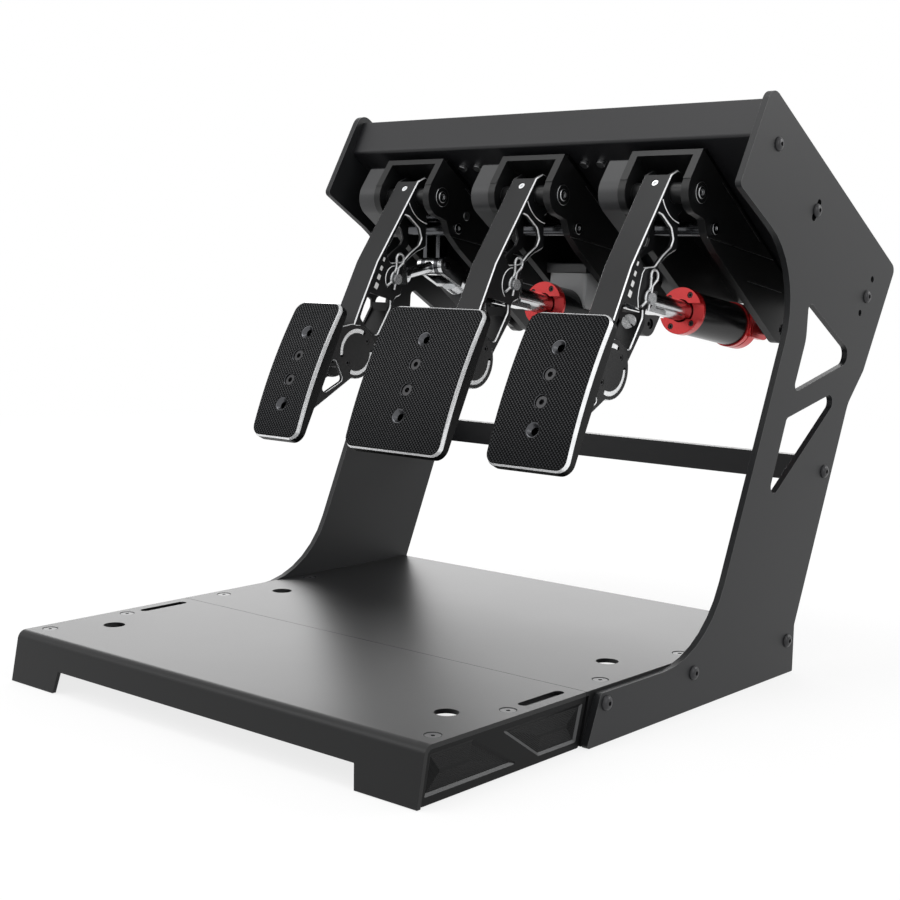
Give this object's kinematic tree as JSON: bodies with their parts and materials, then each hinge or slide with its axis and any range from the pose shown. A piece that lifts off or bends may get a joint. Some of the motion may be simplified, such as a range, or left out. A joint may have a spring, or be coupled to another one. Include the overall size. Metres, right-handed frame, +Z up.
{
  "type": "racing simulator pedal set",
  "caption": "Hanging pedal set for a driving simulator: clutch, brake and throttle on a steel stand with a heel plate, each pedal working a cylinder.",
  "frame": {"origin": "centre of the footprint, on the floor", "axes": "+X to the user's right, +Y away from the user, +Z up"},
  "size_m": [0.4156, 0.577, 0.4364],
  "materials": {
    "deck_paint": "fine textured satin black powder coat",
    "panel_paint": "fine textured satin black powder coat",
    "beam_paint": "satin black powder coat",
    "cap_plastic": "ribbed moulded black",
    "screw_black": "blackened steel",
    "spacer_plastic": "plain black",
    "chassis_paint": "satin black with light edges",
    "housing_grey": "smooth pale grey",
    "steel_satin": "turned satin",
    "arm_anodised": "black anodised with bright chamfers",
    "bracket_anodised": "black anodised with bright slots",
    "screw_steel": "bright socket head",
    "pad_anodised": "knurled black anodised with bright rim",
    "pin_steel": "bright turned",
    "fork_nickel": "nickel plated",
    "red_anodised": "red anodised, turned",
    "cylinder_grey": "dark grey anodised, turned",
    "reservoir_plastic": "milky translucent with a dark lid",
    "damper_rubber": "dense elastomer",
    "spring_steel": "wound wire",
    "lever_steel": "satin"
  },
  "bodies": {
    "frame": {"base_front_plate": "deck_paint", "base_rear_plate": "deck_paint", "base_cap_left": "cap_plastic", "base_cap_right": "cap_plastic", "base_rails": "beam_paint", "side_panel_left": "panel_paint", "side_panel_right": "panel_paint", "rear_crossbar": "beam_paint", "carrier_beam": "beam_paint", "frame_screws": "screw_black", "carrier_bolts": "screw_black", "spacer_rails": "spacer_plastic", "chassis_clutch": "chassis_paint", "chassis_brake": "chassis_paint", "chassis_throttle": "chassis_paint", "sensor_housing_clutch": "housing_grey", "sensor_housing_brake": "housing_grey", "sensor_housing_throttle": "housing_grey", "pivot_shaft_clutch": "steel_satin", "pivot_shaft_brake": "steel_satin", "pivot_shaft_throttle": "steel_satin", "tie_bar_clutch": "steel_satin", "tie_bar_brake": "steel_satin", "tie_bar_throttle": "steel_satin", "rear_pin_clutch": "screw_black", "rear_pin_brake": "screw_black", "rear_pin_throttle": "screw_black", "lever_shaft_clutch": "steel_satin"},
    "clutch_pedal": {"arm_clutch": "arm_anodised", "pad_bracket_clutch": "bracket_anodised", "pad_clutch": "pad_anodised", "pad_screws_clutch": "screw_steel", "clevis_pin_clutch": "pin_steel"},
    "brake_pedal": {"arm_brake": "arm_anodised", "pad_bracket_brake": "bracket_anodised", "pad_brake": "pad_anodised", "pad_screws_brake": "screw_steel", "clevis_pin_brake": "pin_steel"},
    "throttle_pedal": {"arm_throttle": "arm_anodised", "pad_bracket_throttle": "bracket_anodised", "pad_throttle": "pad_anodised", "pad_screws_throttle": "screw_steel", "clevis_pin_throttle": "pin_steel"},
    "throttle_plunger": {"plunger_throttle": "fork_nickel"},
    "throttle_cylinder": {"cap_throttle": "red_anodised", "cylinder_throttle": "cylinder_grey", "collar_throttle": "red_anodised", "return_spring_throttle": "spring_steel"},
    "brake_plunger": {"plunger_brake": "fork_nickel"},
    "brake_cylinder": {"cap_brake": "red_anodised", "cylinder_brake": "cylinder_grey", "collar_brake": "red_anodised", "reservoir_brake": "reservoir_plastic", "damper_stack_brake": "damper_rubber"},
    "clutch_pushrod": {"pushrod_clutch": "fork_nickel"},
    "clutch_lever": {"lever_clutch": "lever_steel"},
    "clutch_plunger": {"plunger_clutch": "fork_nickel"},
    "clutch_cylinder": {"cylinder_clutch": "cylinder_grey", "return_spring_clutch": "spring_steel"}
  },
  "joints": [
    {"name": "clutch_hinge", "type": "hinge", "parent": "frame", "child": "clutch_pedal", "pos_m": [-0.1286, 0.0631, 0.3645], "axis": [1, 0, 0], "range_deg": [0, 14], "stiffness_Nm_per_rad": 30, "springref_deg": -5.73, "deforming": ["return_spring_clutch"]},
    {"name": "brake_hinge", "type": "hinge", "parent": "frame", "child": "brake_pedal", "pos_m": [-0.00335, 0.0631, 0.3645], "axis": [1, 0, 0], "range_deg": [0, 8], "stiffness_Nm_per_rad": 150, "springref_deg": -1.72, "deforming": ["damper_stack_brake"]},
    {"name": "throttle_hinge", "type": "hinge", "parent": "frame", "child": "throttle_pedal", "pos_m": [0.1219, 0.0631, 0.3645], "axis": [1, 0, 0], "range_deg": [0, 14], "stiffness_Nm_per_rad": 20, "springref_deg": -5.73, "deforming": ["return_spring_throttle"]},
    {"name": "brake_clevis_hinge", "type": "hinge", "parent": "brake_pedal", "child": "brake_plunger", "pos_m": [-0.00335, 0.0313, 0.2942], "axis": [1, 0, 0], "range_deg": [-7.3, 0]},
    {"name": "brake_cylinder_hinge", "type": "hinge", "parent": "frame", "child": "brake_cylinder", "pos_m": [-0.00335, 0.1935, 0.2615], "axis": [1, 0, 0], "range_deg": [0, 0.8]},
    {"name": "throttle_clevis_hinge", "type": "hinge", "parent": "throttle_pedal", "child": "throttle_plunger", "pos_m": [0.1219, 0.0327, 0.2868], "axis": [1, 0, 0], "range_deg": [-13.3, 0]},
    {"name": "throttle_cylinder_hinge", "type": "hinge", "parent": "frame", "child": "throttle_cylinder", "pos_m": [0.1219, 0.1935, 0.2615], "axis": [1, 0, 0], "range_deg": [0, 0.8]},
    {"name": "clutch_clevis_hinge", "type": "hinge", "parent": "clutch_pedal", "child": "clutch_pushrod", "pos_m": [-0.1286, 0.031, 0.2959], "axis": [1, 0, 0], "range_deg": [-6.3, 0]},
    {"name": "clutch_lever_hinge", "type": "hinge", "parent": "frame", "child": "clutch_lever", "pos_m": [-0.1286, 0.096, 0.35], "axis": [1, 0, 0], "range_deg": [0, 21.4]},
    {"name": "clutch_knuckle_hinge", "type": "hinge", "parent": "clutch_lever", "child": "clutch_plunger", "pos_m": [-0.1286, 0.096, 0.3078], "axis": [1, 0, 0], "range_deg": [-26.9, 0]},
    {"name": "clutch_cylinder_hinge", "type": "hinge", "parent": "frame", "child": "clutch_cylinder", "pos_m": [-0.1286, 0.1935, 0.2615], "axis": [1, 0, 0], "range_deg": [-5.6, 0]}
  ],
  "couplings": [
    {"joint": "brake_clevis_hinge", "follows": "brake_hinge", "ratio": -0.9021},
    {"joint": "brake_cylinder_hinge", "follows": "brake_hinge", "ratio": 0.0979},
    {"joint": "throttle_clevis_hinge", "follows": "throttle_hinge", "ratio": -0.9448},
    {"joint": "throttle_cylinder_hinge", "follows": "throttle_hinge", "ratio": 0.0552},
    {"joint": "clutch_clevis_hinge", "follows": "clutch_hinge", "ratio": -0.4486},
    {"joint": "clutch_lever_hinge", "follows": "clutch_hinge", "ratio": 1.5248},
    {"joint": "clutch_knuckle_hinge", "follows": "clutch_hinge", "ratio": -1.9189},
    {"joint": "clutch_cylinder_hinge", "follows": "clutch_hinge", "ratio": -0.3941}
  ]
}
